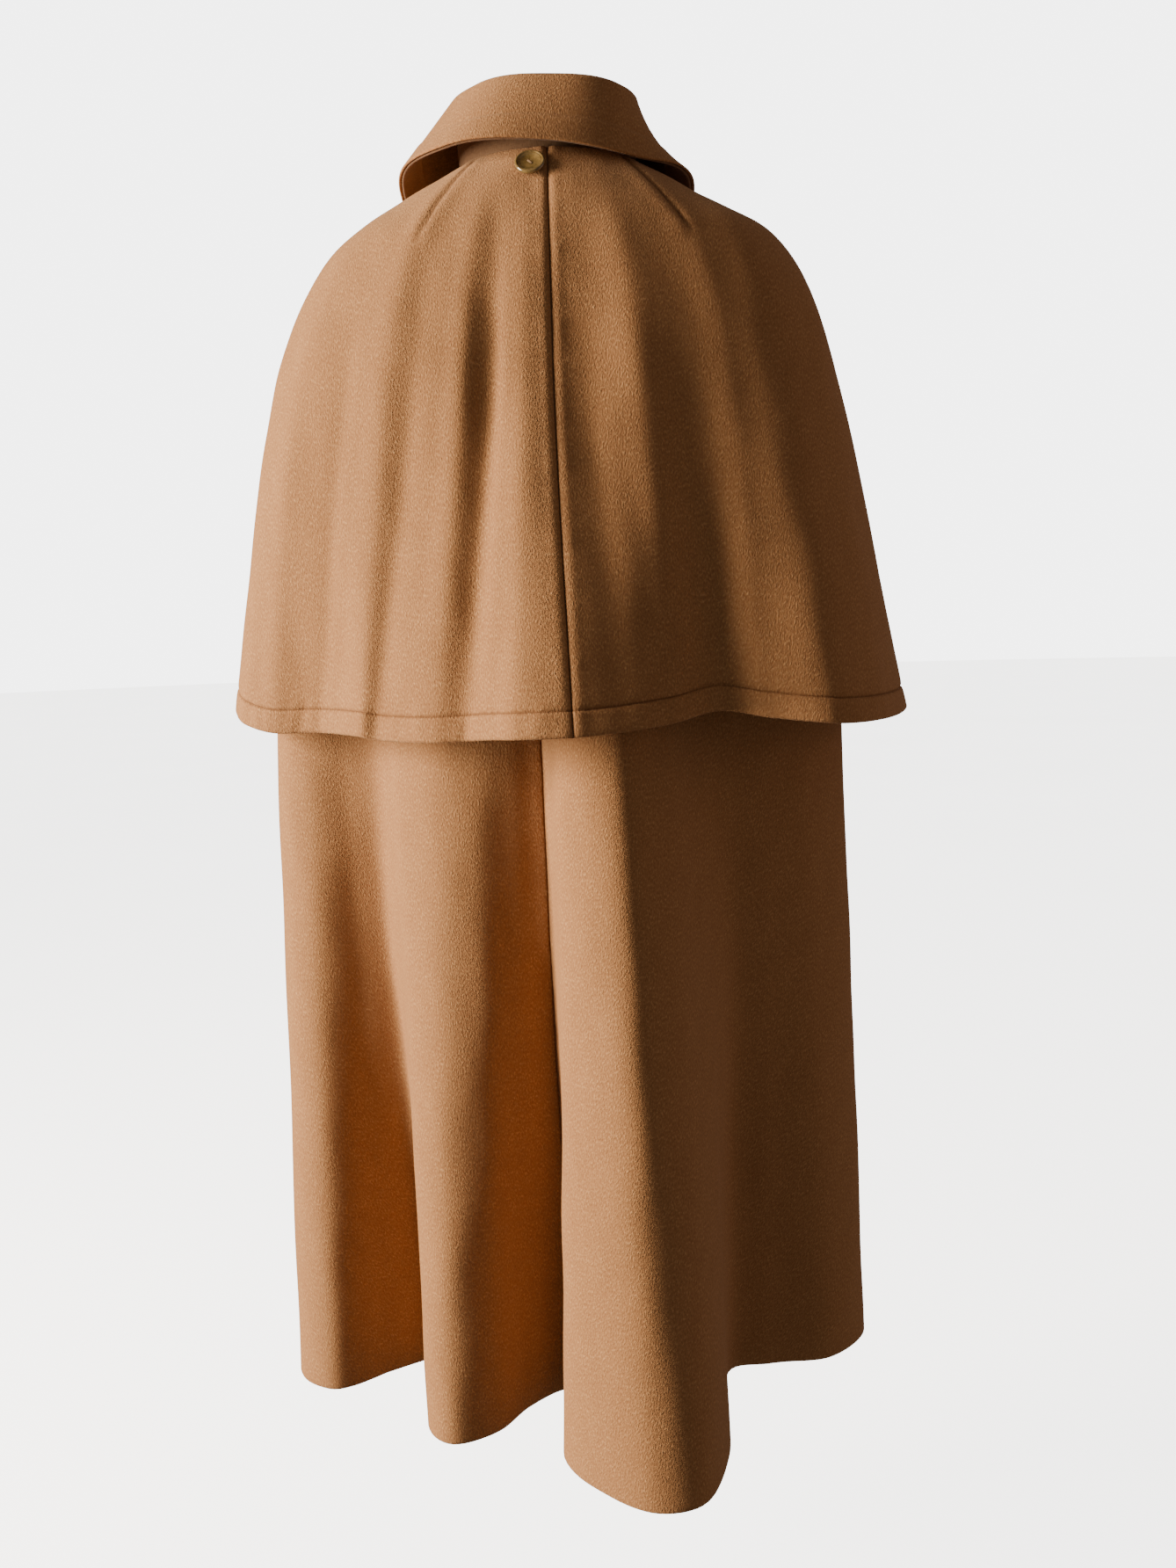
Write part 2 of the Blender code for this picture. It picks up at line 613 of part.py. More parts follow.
def main():
    for leftover in list(bpy.data.objects):
        bpy.data.objects.remove(leftover, do_unlink=True)
    overcape = overcape_layer()
    cape = cape_layer()
    for panel in OVERCAPE_PANELS:
        cloth_panel(overcape, panel, overcape.rows(OVERCAPE_ROWS))
    for panel in CAPE_PANELS:
        cloth_panel(cape, panel, cape.rows(CAPE_ROWS))
    collar()
    buttons({"overcape": overcape, "cape": cape})


main()
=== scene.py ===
import math
import random
from collections import namedtuple

import bmesh
import bpy
import numpy as np
from mathutils import Matrix, Vector


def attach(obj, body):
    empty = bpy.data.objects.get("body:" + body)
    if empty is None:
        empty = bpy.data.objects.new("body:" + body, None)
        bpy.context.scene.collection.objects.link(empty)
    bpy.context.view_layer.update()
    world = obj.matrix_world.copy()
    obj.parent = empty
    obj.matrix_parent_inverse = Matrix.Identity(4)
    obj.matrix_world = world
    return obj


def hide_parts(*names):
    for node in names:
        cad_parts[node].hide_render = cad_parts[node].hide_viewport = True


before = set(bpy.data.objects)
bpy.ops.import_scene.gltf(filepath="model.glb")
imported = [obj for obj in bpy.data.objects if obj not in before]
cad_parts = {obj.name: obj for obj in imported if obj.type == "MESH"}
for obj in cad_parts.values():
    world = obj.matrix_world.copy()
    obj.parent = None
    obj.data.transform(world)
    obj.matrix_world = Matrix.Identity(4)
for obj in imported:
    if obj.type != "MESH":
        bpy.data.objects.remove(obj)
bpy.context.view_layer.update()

# All sizes are in millimetres until a mesh is made. The front faces -Y, the back +Y and the
# wearer's left +X. The origin is the middle of the neck opening, level with the side of the neck.
METRES = 0.001

# Cloth
WALL = 2.4
OVERCAPE_HEM_BAND = 21.0
CAPE_HEM_BAND = 34.0
OVERCAPE_HEM_Z = -482.0
CAPE_HEM_Z = -1120.0
OVERCAPE_STEP = 3.2
CAPE_STEP = 5.6
SEAM_JOIN = 0.05
THINNEST_EDGE = 0.16

# Collar
COLLAR_LAYER = 2.3
COLLAR_LAYER_GAP = 0.5
COLLAR_NECK_CLEARANCE = 0.6
COLLAR_FRONT_TUCK = 8.4
COLLAR_TUCK_ANGLE = 48.0
STAND_OVERLAP = 4.0
FOLD_RADIUS = 5.6
COLLAR_END_ANGLE = 4.0
LEAF_SPREAD_ANGLE = 9.0
COLLAR_STITCH_INSET = 22.0

# Buttons
BUTTON_DIAMETER = 25.0
BUTTON_THICKNESS = 4.2
BUTTON_HOLE = 2.2
BUTTON_HOLE_PITCH = 5.0
BUTTON_SEAT = 0.6

# The camera of the photograph, in metres and degrees
CAMERA_PLACE = (-0.017, 1.1, -0.4)
CAMERA_PITCH = 7.5
CAMERA_ROLL = 1.8
CAMERA_LENS = 27.04
CAMERA_SENSOR = 36.0

# How brightly the camera sees the backdrop, and the floor that runs into it
BACKDROP_GLOW = 5.0

Ring = namedtuple("Ring", "name left right back front z_left z_right z_back z_front squareness")
SHOULDER_RINGS = [
    Ring("neck",         81,  81,  81,  74,   -5,   -5,   -9,  -70, 2.0),
    Ring("collar_edge", 131, 129, 101,  96,  -30,  -31,  -45, -106, 2.1),
    Ring("shoulder",    189, 199, 117, 116,  -70,  -70,  -88, -142, 2.2),
    Ring("tip",         220, 228, 127, 130, -115, -115, -132, -176, 2.3),
    Ring("upper_arm",   249, 250, 138, 142, -183, -183, -195, -226, 2.3),
]
CAPE_UNDER_OVERCAPE = [3.4, 4.6, 6.0, 7.5, 9.5]

OvercapeLine = namedtuple("OvercapeLine", "name angle push lap hem_x hem_y hem_drop")
OVERCAPE_LINES = [
    OvercapeLine("left_edge",           -20,  0.0, 3.6,  -28, -170,  4),
    OvercapeLine("left_under",            0,  0.0, 3.6,    2, -171,  4),
    OvercapeLine("left_lap",             22,  0.0, 3.6,   32, -172,  4),
    OvercapeLine("left_front",           32,  0.0, 0.0,   66, -180,  4),
    OvercapeLine("left_front_crest",     42,  3.0, 0.0,  112, -190,  2),
    OvercapeLine("left_front_valley",    54, -3.0, 0.0,  160, -146,  8),
    OvercapeLine("left_arm_crest",       66,  2.0, 0.0,  236, -132,  6),
    OvercapeLine("left_arm_valley",      76,  0.0, 0.0,  268,  -84,  12),
    OvercapeLine("left_side",            86,  0.0, 0.0,  301,  -42,  17),
    OvercapeLine("left_outline",         94,  0.0, 0.0,  306,    8,  19),
    OvercapeLine("left_turn",           103,  1.0, 0.0,  290,   50,  8),
    OvercapeLine("left_flat",           112,  0.0, 0.0,  258,   70,  0),
    OvercapeLine("first_valley",        121, -3.0, 0.0,  222,   82,  0),
    OvercapeLine("first_flank",         127, -1.0, 0.0,  200,   98,  0),
    OvercapeLine("first_crest",         133,  3.0, 0.0,  174,  124, -1),
    OvercapeLine("first_back",          139,  0.0, 0.0,  156,  130, -4),
    OvercapeLine("second_flank",        146,  1.0, 0.0,  130,  146, -5),
    OvercapeLine("second_crest",        152,  3.0, 0.0,  104,  160, -5),
    OvercapeLine("second_valley",       159, -3.0, 0.0,   78,  164, -4),
    OvercapeLine("third_flank",         165,  1.0, 0.0,   58,  182, -2),
    OvercapeLine("third_crest",         171,  4.0, 0.0,   36,  199, -1),
    OvercapeLine("centre_back",         180,  1.0, 0.0,   -7,  204,  0),
    OvercapeLine("right_slope",         192, -3.0, 0.0,  -46,  192,  2),
    OvercapeLine("right_back",          206,  2.0, 0.0,  -88,  172,  6),
    OvercapeLine("right_valley",        219, -4.0, 0.0, -126,  150, 13),
    OvercapeLine("right_rise",          230, -1.0, 0.0, -164,  156,  7),
    OvercapeLine("right_crest",         243,  3.0, 0.0, -222,  158,  1),
    OvercapeLine("right_turn",          256,  1.0, 0.0, -272,  112,  0),
    OvercapeLine("right_outline",       268,  0.0, 0.0, -311,   22,  1),
    OvercapeLine("right_side",          275,  0.0, 0.0, -310,  -28,  2),
    OvercapeLine("right_arm_valley",    285, -1.0, 0.0, -272,  -84,  6),
    OvercapeLine("right_arm_crest",     296,  2.0, 0.0, -236, -138,  3),
    OvercapeLine("right_front_valley",  311, -3.0, 0.0, -166, -148,  6),
    OvercapeLine("right_front_crest",   327,  3.0, 0.0, -114, -192,  2),
    OvercapeLine("right_front",         344,  0.0, 0.0,  -46, -179,  2),
    OvercapeLine("centre_front",        362,  0.0, 0.0,   -8, -180,  2),
    OvercapeLine("right_edge",          380,  0.0, 0.0,   28, -179,  2),
]

CapeLine = namedtuple("CapeLine", "name angle lap waist_x waist_y hem_x hem_y")
CAPE_LINES = [
    CapeLine("left_edge",          -20, 8.0,  -28, -144,  -30, -162),
    CapeLine("left_under",           0, 8.0,    2, -145,    2, -163),
    CapeLine("left_lap",            22, 8.0,   32, -144,   34, -164),
    CapeLine("left_front",          36, 0.0,   64, -148,   68, -166),
    CapeLine("left_front_crest",    46, 0.0,  110, -142,  122, -182),
    CapeLine("left_front_valley",   57, 0.0,  156, -112,  152, -118),
    CapeLine("left_arm_crest",      68, 0.0,  208, -100,  224, -134),
    CapeLine("left_arm_valley",     78, 0.0,  236,  -58,  238,  -66),
    CapeLine("left_side",           88, 0.0,  264,  -22,  284,  -28),
    CapeLine("a_outline",           96, 0.0,  269,    8,  286,   14),
    CapeLine("a_left",             104, 0.0,  256,   34,  270,   40),
    CapeLine("a_crest",            112, 0.0,  232,   47,  240,   51),
    CapeLine("a_right",            121, 0.0,  198,   53,  192,   25),
    CapeLine("ab_valley",          128, 0.0,  174,   60,  150,    6),
    CapeLine("b_flank",            134, 0.0,  158,   74,  148,   56),
    CapeLine("b_left",             140, 0.0,  144,   90,  147,  110),
    CapeLine("b_crest",            149, 0.0,  112,  112,  122,  133),
    CapeLine("b_right",            157, 0.0,   80,  119,   82,  118),
    CapeLine("b_slope",            165, 0.0,   48,  117,   54,   84),
    CapeLine("centre_back",        173, 0.0,   22,  114,   14,   60),
    CapeLine("c_flank",            178, 0.0,   12,  130,   15,  108),
    CapeLine("c_left",             182, 0.0,    3,  148,   22,  156),
    CapeLine("c_rise",             188, 0.0,  -20,  164,   -6,  194),
    CapeLine("c_crest",            196, 0.0,  -48,  165,  -52,  223),
    CapeLine("c_right",            205, 0.0,  -78,  143,  -98,  213),
    CapeLine("c_right_flank",      213, 0.0, -102,  118, -123,  158),
    CapeLine("c_inner",            220, 0.0, -122,  102, -129,   92),
    CapeLine("cd_valley",          227, 0.0, -144,   92, -138,   40),
    CapeLine("d_left",             238, 0.0, -178,   76, -178,   31),
    CapeLine("d_right",            252, 0.0, -220,   46, -238,   24),
    CapeLine("d_outline",          265, 0.0, -255,    0, -279,  -12),
    CapeLine("right_side",         276, 0.0, -257,  -34, -281,  -48),
    CapeLine("right_arm_valley",   286, 0.0, -236,  -66, -246,  -82),
    CapeLine("right_arm_crest",    298, 0.0, -208, -100, -220, -136),
    CapeLine("right_front_valley", 309, 0.0, -158, -118, -152, -124),
    CapeLine("right_front_crest",  322, 0.0, -106, -146, -114, -184),
    CapeLine("right_lap",          337, 4.0,  -52, -150,  -56, -168),
    CapeLine("centre_front",       360, 4.0,  -10, -151,  -10, -171),
    CapeLine("right_edge",         380, 4.0,   28, -150,   30, -172),
]

CollarStation = namedtuple("CollarStation", "name angle fold_reach fold_z edge_reach edge_z belly")
COLLAR_STATIONS = [
    CollarStation("front",         0, 80, -42, 124, -108,  0),
    CollarStation("left_front",   45, 86, -10, 134,  -64,  0),
    CollarStation("left",         90, 88,  46, 133,  -10,  0),
    CollarStation("left_back",   135, 83,  51, 118,   -7,  0),
    CollarStation("back",        180, 77,  50,  96,   -9,  1),
    CollarStation("right_back",  225, 86,  48, 101,  -15,  0),
    CollarStation("right",       270, 80,  44, 128,  -13, -7),
    CollarStation("right_front", 315, 84, -10, 134,  -60, -2),
]

# Each panel, the lines that it lies between, the flat piece that it is cut from, in metres, and what
# it lies on or hangs from
Panel = namedtuple("Panel", "name first last cut_width cut_length cut_area rests_on")
OVERCAPE_PANELS = [
    Panel("overcape_front_left", "left_edge", "left_side", 0.40, 0.55, 0.162, "cape_front_left"),
    Panel("overcape_back_left", "left_side", "centre_back", 0.45, 0.56, 0.173, "cape_back_left"),
    Panel("overcape_back_right", "centre_back", "right_side", 0.45, 0.58, 0.177, "cape_back_right"),
    Panel("overcape_front_right", "right_side", "right_edge", 0.42, 0.57, 0.165, "cape_front_right"),
]
CAPE_PANELS = [
    Panel("cape_front_left", "left_edge", "left_side", 0.44, 1.19, 0.398, "under_collar"),
    Panel("cape_back_left", "left_side", "centre_back", 0.49, 1.19, 0.391, "under_collar"),
    Panel("cape_back_right", "centre_back", "right_side", 0.63, 1.20, 0.487, "under_collar"),
    Panel("cape_front_right", "right_side", "right_edge", 0.41, 1.20, 0.376, "under_collar"),
]

# The collar's two layers, how deep each lies under the outer face, how far its edge is set back as a
# share of the leaf, and its flat piece, in metres
CollarLayer = namedtuple("CollarLayer", "name depth set_back cut_width cut_length cut_area rests_on")
UPPER_COLLAR = CollarLayer("upper_collar", 0.0, 0.0, 0.76, 0.14, 0.069, "under_collar")
UNDER_COLLAR = CollarLayer(
    "under_collar", COLLAR_LAYER + COLLAR_LAYER_GAP, 0.02, 0.75, 0.14, 0.065, "overcape_back_left",
)


def steady_slopes(knots, values):
    """Slopes of cubics through the rows of values that never swing past them."""
    widths = np.diff(knots)[:, None]
    secants = np.diff(values, axis=0) / widths
    slopes = np.empty_like(values)
    slopes[0], slopes[-1] = secants[0], secants[-1]
    before, after = secants[:-1], secants[1:]
    weight_before = 2.0 * widths[1:] + widths[:-1]
    weight_after = widths[1:] + 2.0 * widths[:-1]
    same_way = before * after > 0.0
    safe_before = np.where(same_way, before, 1.0)
    safe_after = np.where(same_way, after, 1.0)
    mean = (weight_before + weight_after) / (weight_before / safe_before + weight_after / safe_after)
    slopes[1:-1] = np.where(same_way, mean, 0.0)
    return slopes


def chord_slopes(knots, values):
    """Slopes for a smooth curve through the rows of values, each along the chord of its neighbours."""
    slopes = np.empty_like(values)
    slopes[1:-1] = (values[2:] - values[:-2]) / (knots[2:] - knots[:-2])[:, None]
    slopes[0] = (values[1] - values[0]) / (knots[1] - knots[0])
    slopes[-1] = (values[-1] - values[-2]) / (knots[-1] - knots[-2])
    return slopes


def hermite(knots, values, slopes, places):
    """Cubics through the rows of values, read at the places."""
    index = np.clip(np.searchsorted(knots, places, side="right") - 1, 0, len(knots) - 2)
    width = (knots[index + 1] - knots[index])[:, None]
    t = (places - knots[index])[:, None] / width
    t2, t3 = t * t, t * t * t
    return (
        (2 * t3 - 3 * t2 + 1) * values[index]
        + (t3 - 2 * t2 + t) * width * slopes[index]
        + (3 * t2 - 2 * t3) * values[index + 1]
        + (t3 - t2) * width * slopes[index + 1]
    )


def smooth_step(start, end, value):
    share = np.clip((value - start) / (end - start), 0.0, 1.0)
    return share * share * (3.0 - 2.0 * share)


def bump(distance, width):
    """A soft rounded ridge, 1 at its middle."""
    return np.exp(-((distance / width) ** 2))


def ring_point(ring, angle):
    """A point on a shoulder ring. Angle 0 is the front, 90 the wearer's left, 180 the back."""
    turn = math.radians(angle)
    side, depth = math.sin(turn), -math.cos(turn)
    half_width = ring.left if side > 0 else ring.right
    half_depth = ring.back if depth > 0 else ring.front
    power = ring.squareness
    reach = ((abs(side) / half_width) ** power + (abs(depth) / half_depth) ** power) ** (-1.0 / power)
    z_side = ring.z_left + (ring.z_right - ring.z_left) * (1.0 - side) / 2.0
    z_end = ring.z_back if depth > 0 else ring.z_front
    return Vector((reach * side, reach * depth, z_side + (z_end - z_side) * depth * depth))


def ring_distances():
    """How far each ring lies from the neck, measured down the cloth at the wearer's left side."""
    distances = [0.0]
    for upper, lower in zip(SHOULDER_RINGS, SHOULDER_RINGS[1:]):
        distances.append(distances[-1] + math.hypot(lower.left - upper.left, lower.z_left - upper.z_left))
    return distances


def shoulder_normal(index, angle):
    """The way out of the cloth at a ring."""
    above = SHOULDER_RINGS[max(index - 1, 0)]
    below = SHOULDER_RINGS[min(index + 1, len(SHOULDER_RINGS) - 1)]
    ring = SHOULDER_RINGS[index]
    down = ring_point(below, angle) - ring_point(above, angle)
    around = ring_point(ring, angle + 1.0) - ring_point(ring, angle - 1.0)
    return around.cross(down).normalized() * -1.0


def grid_normals(points):
    """Unit normals out of a grid of points, rows down the cloth by columns round it."""
    along = np.gradient(points, axis=1)
    down = np.gradient(points, axis=0)
    normals = np.cross(down, along)
    return normals / np.linalg.norm(normals, axis=2, keepdims=True)


def run_lengths(points, axis):
    """How far each point of a grid lies along its row or column, from the first one."""
    steps = np.linalg.norm(np.diff(points, axis=axis), axis=2)
    lengths = np.cumsum(steps, axis=axis)
    start = np.zeros_like(lengths[:1] if axis == 0 else lengths[:, :1])
    return np.concatenate([start, lengths], axis=axis)


class Layer:
    """One layer of cloth round the body: lines down it, joined by smooth curves round it."""

    def __init__(self, lines, line_points, distances, hem_band):
        self.names = [line.name for line in lines]
        self.downs = np.array(distances)
        self.points = np.array([[tuple(point) for point in points] for points in line_points])
        self.length = distances[-1]
        self.hem_band = hem_band
        steps = np.linalg.norm(np.diff(self.points, axis=0), axis=2)
        self.places = np.concatenate([[0.0], np.cumsum((steps[:, -1] + steps[:, -2]) / 2.0)])

    def line_place(self, name):
        return self.places[self.names.index(name)]

    def grid(self, arounds, downs):
        """Points of the outer face, rows down the cloth by columns round it."""
        arounds, downs = np.asarray(arounds, float), np.asarray(downs, float)
        rings = self.points.transpose(1, 0, 2).reshape(len(self.downs), -1)
        rows = hermite(self.downs, rings, steady_slopes(self.downs, rings), downs)
        rows = rows.reshape(len(downs), -1, 3).transpose(1, 0, 2).reshape(len(self.places), -1)
        columns = hermite(self.places, rows, chord_slopes(self.places, rows), arounds)
        return columns.reshape(len(arounds), len(downs), 3).transpose(1, 0, 2)

    def frame_at(self, around, down):
        """Point and unit normal out of the cloth."""
        step = 0.5
        points = self.grid([around - step, around, around + step], [down - step, down, down + step])
        return Vector(points[1, 1]), Vector(grid_normals(points)[1, 1])


def overcape_layer():
    rings = SHOULDER_RINGS
    points = []
    for line in OVERCAPE_LINES:
        down = []
        for index in range(len(rings)):
            growth = max(index - 1, 0) / (len(rings) - 2)
            out = line.push * growth - line.lap
            down.append(ring_point(rings[index], line.angle) + shoulder_normal(index, line.angle) * out)
        down.append(Vector((line.hem_x, line.hem_y, OVERCAPE_HEM_Z + line.hem_drop)))
        points.append(down)
    distances = ring_distances()
    side = OVERCAPE_LINES[[line.name for line in OVERCAPE_LINES].index("left_outline")]
    drop = Vector((side.hem_x, 0, OVERCAPE_HEM_Z)) - Vector((rings[-1].left, 0, rings[-1].z_left))
    distances.append(distances[-1] + drop.length)
    return Layer(OVERCAPE_LINES, points, distances, OVERCAPE_HEM_BAND)


def cape_layer():
    rings = SHOULDER_RINGS
    points = []
    for line in CAPE_LINES:
        down = []
        for index in range(len(rings)):
            inside = CAPE_UNDER_OVERCAPE[index] + line.lap
            down.append(ring_point(rings[index], line.angle) - shoulder_normal(index, line.angle) * inside)
        down.append(Vector((line.waist_x, line.waist_y, OVERCAPE_HEM_Z)))
        down.append(Vector((line.hem_x, line.hem_y, CAPE_HEM_Z)))
        points.append(down)
    distances = ring_distances()
    distances.append(distances[-1] + rings[-1].z_left - OVERCAPE_HEM_Z)
    distances.append(distances[-1] + OVERCAPE_HEM_Z - CAPE_HEM_Z)
    return Layer(CAPE_LINES, points, distances, CAPE_HEM_BAND)


# Distances from an edge or a sewn line at which the cloth has a row or column of its own
EDGE_STEPS = [0.0, 0.35, 1.0, 2.2]
SEWN_STEPS = [-2.6, -1.2, -0.4, 0.4, 1.2, 2.6]


def stops(start, end, step, marks=()):
    """Places from start to end about a step apart, closer at both ends and round each mark."""
    close = [start + d for d in EDGE_STEPS] + [end - d for d in EDGE_STEPS]
    close += [mark + d for mark in marks for d in SEWN_STEPS]
    parts = max(round((end - start) / step), 1)
    for k in range(1, parts):
        place = start + (end - start) * k / parts
        if min(abs(place - other) for other in close) > 0.45 * step:
            close.append(place)
    return np.array(sorted(close))


def edge_round(distance, radius):
    """How much of the cloth's thickness is left near an edge, for a rounded edge."""
    inside = 1.0 - np.clip(distance / radius, 0.0, 1.0)
    return np.maximum(np.sqrt(np.maximum(1.0 - inside * inside, 0.0)), THINNEST_EDGE)


def drape_noise(points, wave, seed):
    """Slow unevenness of cloth over its surface, between about -1 and 1."""
    chance = random.Random(seed)
    total = np.zeros(points.shape[:2])
    waves = 7
    for _ in range(waves):
        heading = Vector((chance.uniform(-1, 1), chance.uniform(-1, 1), chance.uniform(-0.5, 0.5))).normalized()
        turn = 2.0 * math.pi / (wave * chance.uniform(0.7, 1.6))
        total += np.sin(points @ np.array(heading) * turn + chance.uniform(0.0, 2.0 * math.pi))
    return total / math.sqrt(waves)


def add_piece(name, mesh, finish, node=None):
    piece = bpy.data.objects.new(name, mesh)
    bpy.context.scene.collection.objects.link(piece)
    mesh.materials.clear()
    mesh.materials.append(finish)
    mesh.shade_smooth()
    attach(piece, "root")
    if node:
        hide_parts(node)
    return piece


def cloth_wall(name, outer, inner, uv, marks):
    """A closed wall between two grids of points. uv is the cloth's own place, in metres, and
    marks holds a value per point for each named attribute."""
    rows, columns = outer.shape[:2]
    builder = bmesh.new()
    bmesh.ops.create_grid(builder, x_segments=columns - 1, y_segments=rows - 1, size=1.0)
    builder.verts.ensure_lookup_table()
    number = builder.verts.layers.int.new("number")
    for index, vertex in enumerate(builder.verts):
        vertex[number] = index
    grown = bmesh.ops.extrude_face_region(builder, geom=builder.faces[:])
    for vertex in (item for item in grown["geom"] if isinstance(item, bmesh.types.BMVert)):
        vertex[number] += rows * columns
    mesh = bpy.data.meshes.new(name)
    builder.to_mesh(mesh)
    builder.free()
    order = np.empty(len(mesh.vertices), np.int32)
    mesh.attributes["number"].data.foreach_get("value", order)
    both = np.concatenate([outer.reshape(-1, 3), inner.reshape(-1, 3)]) * METRES
    mesh.vertices.foreach_set("co", both[order].astype(np.float32).ravel())
    place = np.concatenate([uv.reshape(-1, 2)] * 2)[order]
    corners = np.empty(len(mesh.loops), np.int32)
    mesh.loops.foreach_get("vertex_index", corners)
    layer = mesh.uv_layers.new(name="cloth")
    layer.data.foreach_set("uv", place[corners].astype(np.float32).ravel())
    for mark, values in marks.items():
        attribute = mesh.attributes.new(mark, "FLOAT", "POINT")
        attribute.data.foreach_set("value", np.concatenate([values.ravel()] * 2)[order].astype(np.float32))
    mesh.attributes.remove(mesh.attributes["number"])
    mesh.update()
    solid = bmesh.new()
    solid.from_mesh(mesh)
    bmesh.ops.recalc_face_normals(solid, faces=solid.faces[:])
    if solid.calc_volume(signed=True) < 0.0:
        bmesh.ops.reverse_faces(solid, faces=solid.faces[:])
    solid.to_mesh(mesh)
    solid.free()
    return mesh


# Folds between and on the lines, as soft ridges or, with a height below zero, troughs. Offset is from
# the named line, start and end are distances down the cloth, and drift is how far it moves on its way.
Fold = namedtuple("Fold", "line offset start end drift height width")
OVERCAPE_FOLDS = [
    Fold("left_flat",     -6, 150, 700,   4,  1.6, 12),
    Fold("first_valley",   6, 120, 700,   6, -1.5,  9),
    Fold("first_back",     2, 160, 700,  -4, -1.2,  9),
    Fold("second_valley", 10, 110, 520,  -8, -1.4, 10),
    Fold("right_slope",    8, 140, 700,  10,  1.0, 14),
]
CAPE_FOLDS = [
    Fold("a_right", 0, 500, 1300, 0, -1.5, 14),
]

# Darts of the overcape's back, from the neck's edge to the tip, as distances across from the centre
# back and down the cloth
Dart = namedtuple("Dart", "panel across_top down_top across_tip down_tip")
DARTS = [
    Dart("overcape_back_left", -70, 14, -112, 110),
    Dart("overcape_back_right", 70, 14, 118, 110),
]


def fold_relief(folds, layer, around, down):
    total = np.zeros_like(around)
    for fold in folds:
        share = np.clip((down - fold.start) / (fold.end - fold.start), 0.0, 1.0)
        centre = layer.line_place(fold.line) + fold.offset + fold.drift * share
        strength = smooth_step(0.0, 0.4, share) * (1.0 - smooth_step(0.8, 1.0, share))
        total += fold.height * strength * bump(around - centre, fold.width)
    return total


def dart_relief(panel, across, fallen):
    """A dart is a sewn line with the cloth rising beside it, fading into a soft fullness past its tip."""
    total = np.zeros_like(across)
    sewn = np.zeros_like(across)
    for dart in DARTS:
        if dart.panel != panel.name:
            continue
        run = np.array([dart.across_tip - dart.across_top, dart.down_tip - dart.down_top], float)
        size = np.linalg.norm(run)
        heading = run / size
        from_top = np.stack([across - dart.across_top, fallen - dart.down_top], axis=-1)
        along = from_top @ heading
        beside = from_top @ np.array([heading[1], -heading[0]])
        inside = smooth_step(-14.0, -6.0, along) * (1.0 - smooth_step(size - 18.0, size + 4.0, along))
        total += inside * (0.9 * bump(beside - 6.0, 6.0) + 0.9 * bump(beside + 6.0, 6.0))
        total -= inside * 1.5 * bump(beside, 1.6)
        sewn = np.maximum(sewn, inside * bump(beside, 1.0))
    return total, sewn


def hem_puckers(layer, around, above_hem):
    """Small upright puckers that the hem's stitching draws into its band, uneven in size and place."""
    chance = random.Random(11)
    total = np.zeros_like(around)
    strong_from = layer.line_place("left_turn")
    strong_to = layer.line_place("centre_back")
    place = layer.places[0]
    band = layer.hem_band
    reach = smooth_step(band + 14.0, band - 4.0, above_hem) * (0.45 + 0.55 * smooth_step(-2.0, 10.0, above_hem))
    while place < layer.places[-1]:
        place += chance.uniform(6.5, 15.0)
        height = chance.uniform(0.25, 1.0) * chance.choice((1.0, 1.0, -1.0))
        width = chance.uniform(2.6, 4.6)
        lean = chance.uniform(-0.22, 0.22)
        strength = 1.0 if strong_from < place < strong_to else 0.35
        total += strength * height * bump(around - place - lean * above_hem, width)
    return total * reach


def seam_relief(distance, fallen, seed):
    """A pressed-open seam: a sharp groove between two soft ridges, slightly puckered along it."""
    pucker = np.sin(fallen / 5.3 + seed) + np.sin(fallen / 8.9 + 2.0 * seed) + np.sin(fallen / 3.1)
    ridge = 0.5 * bump(distance - 5.5, 5.0)
    return ridge * (1.0 + 0.22 * pucker) - 1.0 * bump(distance, 2.4)


